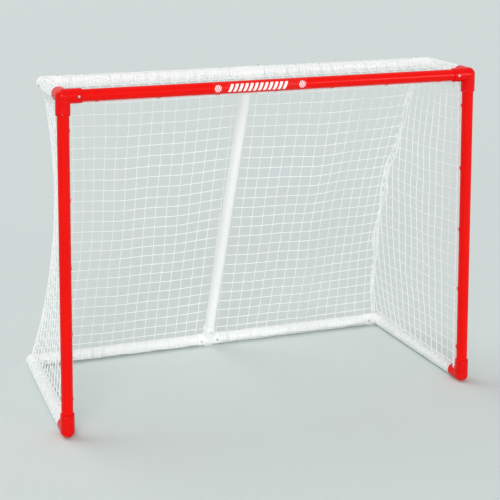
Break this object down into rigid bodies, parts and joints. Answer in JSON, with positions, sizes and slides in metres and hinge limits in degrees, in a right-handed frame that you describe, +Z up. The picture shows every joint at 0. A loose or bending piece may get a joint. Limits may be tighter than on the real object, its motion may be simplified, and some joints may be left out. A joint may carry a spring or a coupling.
{
  "type": "hockey goal net",
  "caption": "Free-standing hockey goal with a red tube mouth, white base, shelf and brace tubes, push-fit corners and a knotted net",
  "frame": {"origin": "on the floor, under the middle of the goal's overall box", "axes": "+X along the crossbar to the right seen from the mouth, +Y from the mouth to the back, +Z up"},
  "size_m": [1.4776, 0.7213, 1.1245],
  "materials": {
    "red_pvc": "glossy extruded red plastic tube",
    "red_fitting": "glossy moulded red plastic",
    "white_pvc": "satin extruded white plastic tube",
    "white_fitting": "satin moulded white plastic",
    "net_cord": "knotted white braided cord",
    "border_cord": "white braided cord",
    "clip_plastic": "moulded red plastic with a white ring",
    "screw_steel": "zinc-plated pan head screws",
    "label_film": "printed film, plain stripes"
  },
  "bodies": {
    "root": {"left_post": "red_pvc", "right_post": "red_pvc", "crossbar": "red_pvc", "top_left_corner": "red_fitting", "top_right_corner": "red_fitting", "bottom_left_elbow": "red_fitting", "bottom_right_elbow": "red_fitting", "left_side_rail": "white_pvc", "right_side_rail": "white_pvc", "back_left_elbow": "white_fitting", "back_right_elbow": "white_fitting", "back_rail_left": "white_pvc", "back_rail_right": "white_pvc", "base_tee": "white_fitting", "centre_brace": "white_pvc", "shelf_tee": "white_fitting", "shelf_bar_left": "white_pvc", "shelf_bar_right": "white_pvc", "shelf_left_elbow": "white_fitting", "shelf_right_elbow": "white_fitting", "left_shelf_tube": "white_pvc", "right_shelf_tube": "white_pvc", "net_top": "net_cord", "net_back": "net_cord", "net_left": "net_cord", "net_right": "net_cord", "hem_left_rail": "net_cord", "hem_right_rail": "net_cord", "hem_back_rail": "net_cord", "hem_left_shelf": "net_cord", "hem_right_shelf": "net_cord", "hem_shelf_bar": "net_cord", "net_border_cord": "border_cord", "left_post_clips": "clip_plastic", "right_post_clips": "clip_plastic", "crossbar_clips": "clip_plastic", "frame_screws": "screw_steel", "base_screws": "screw_steel", "shelf_screws": "screw_steel", "crossbar_label": "label_film"}
  },
  "joints": []
}
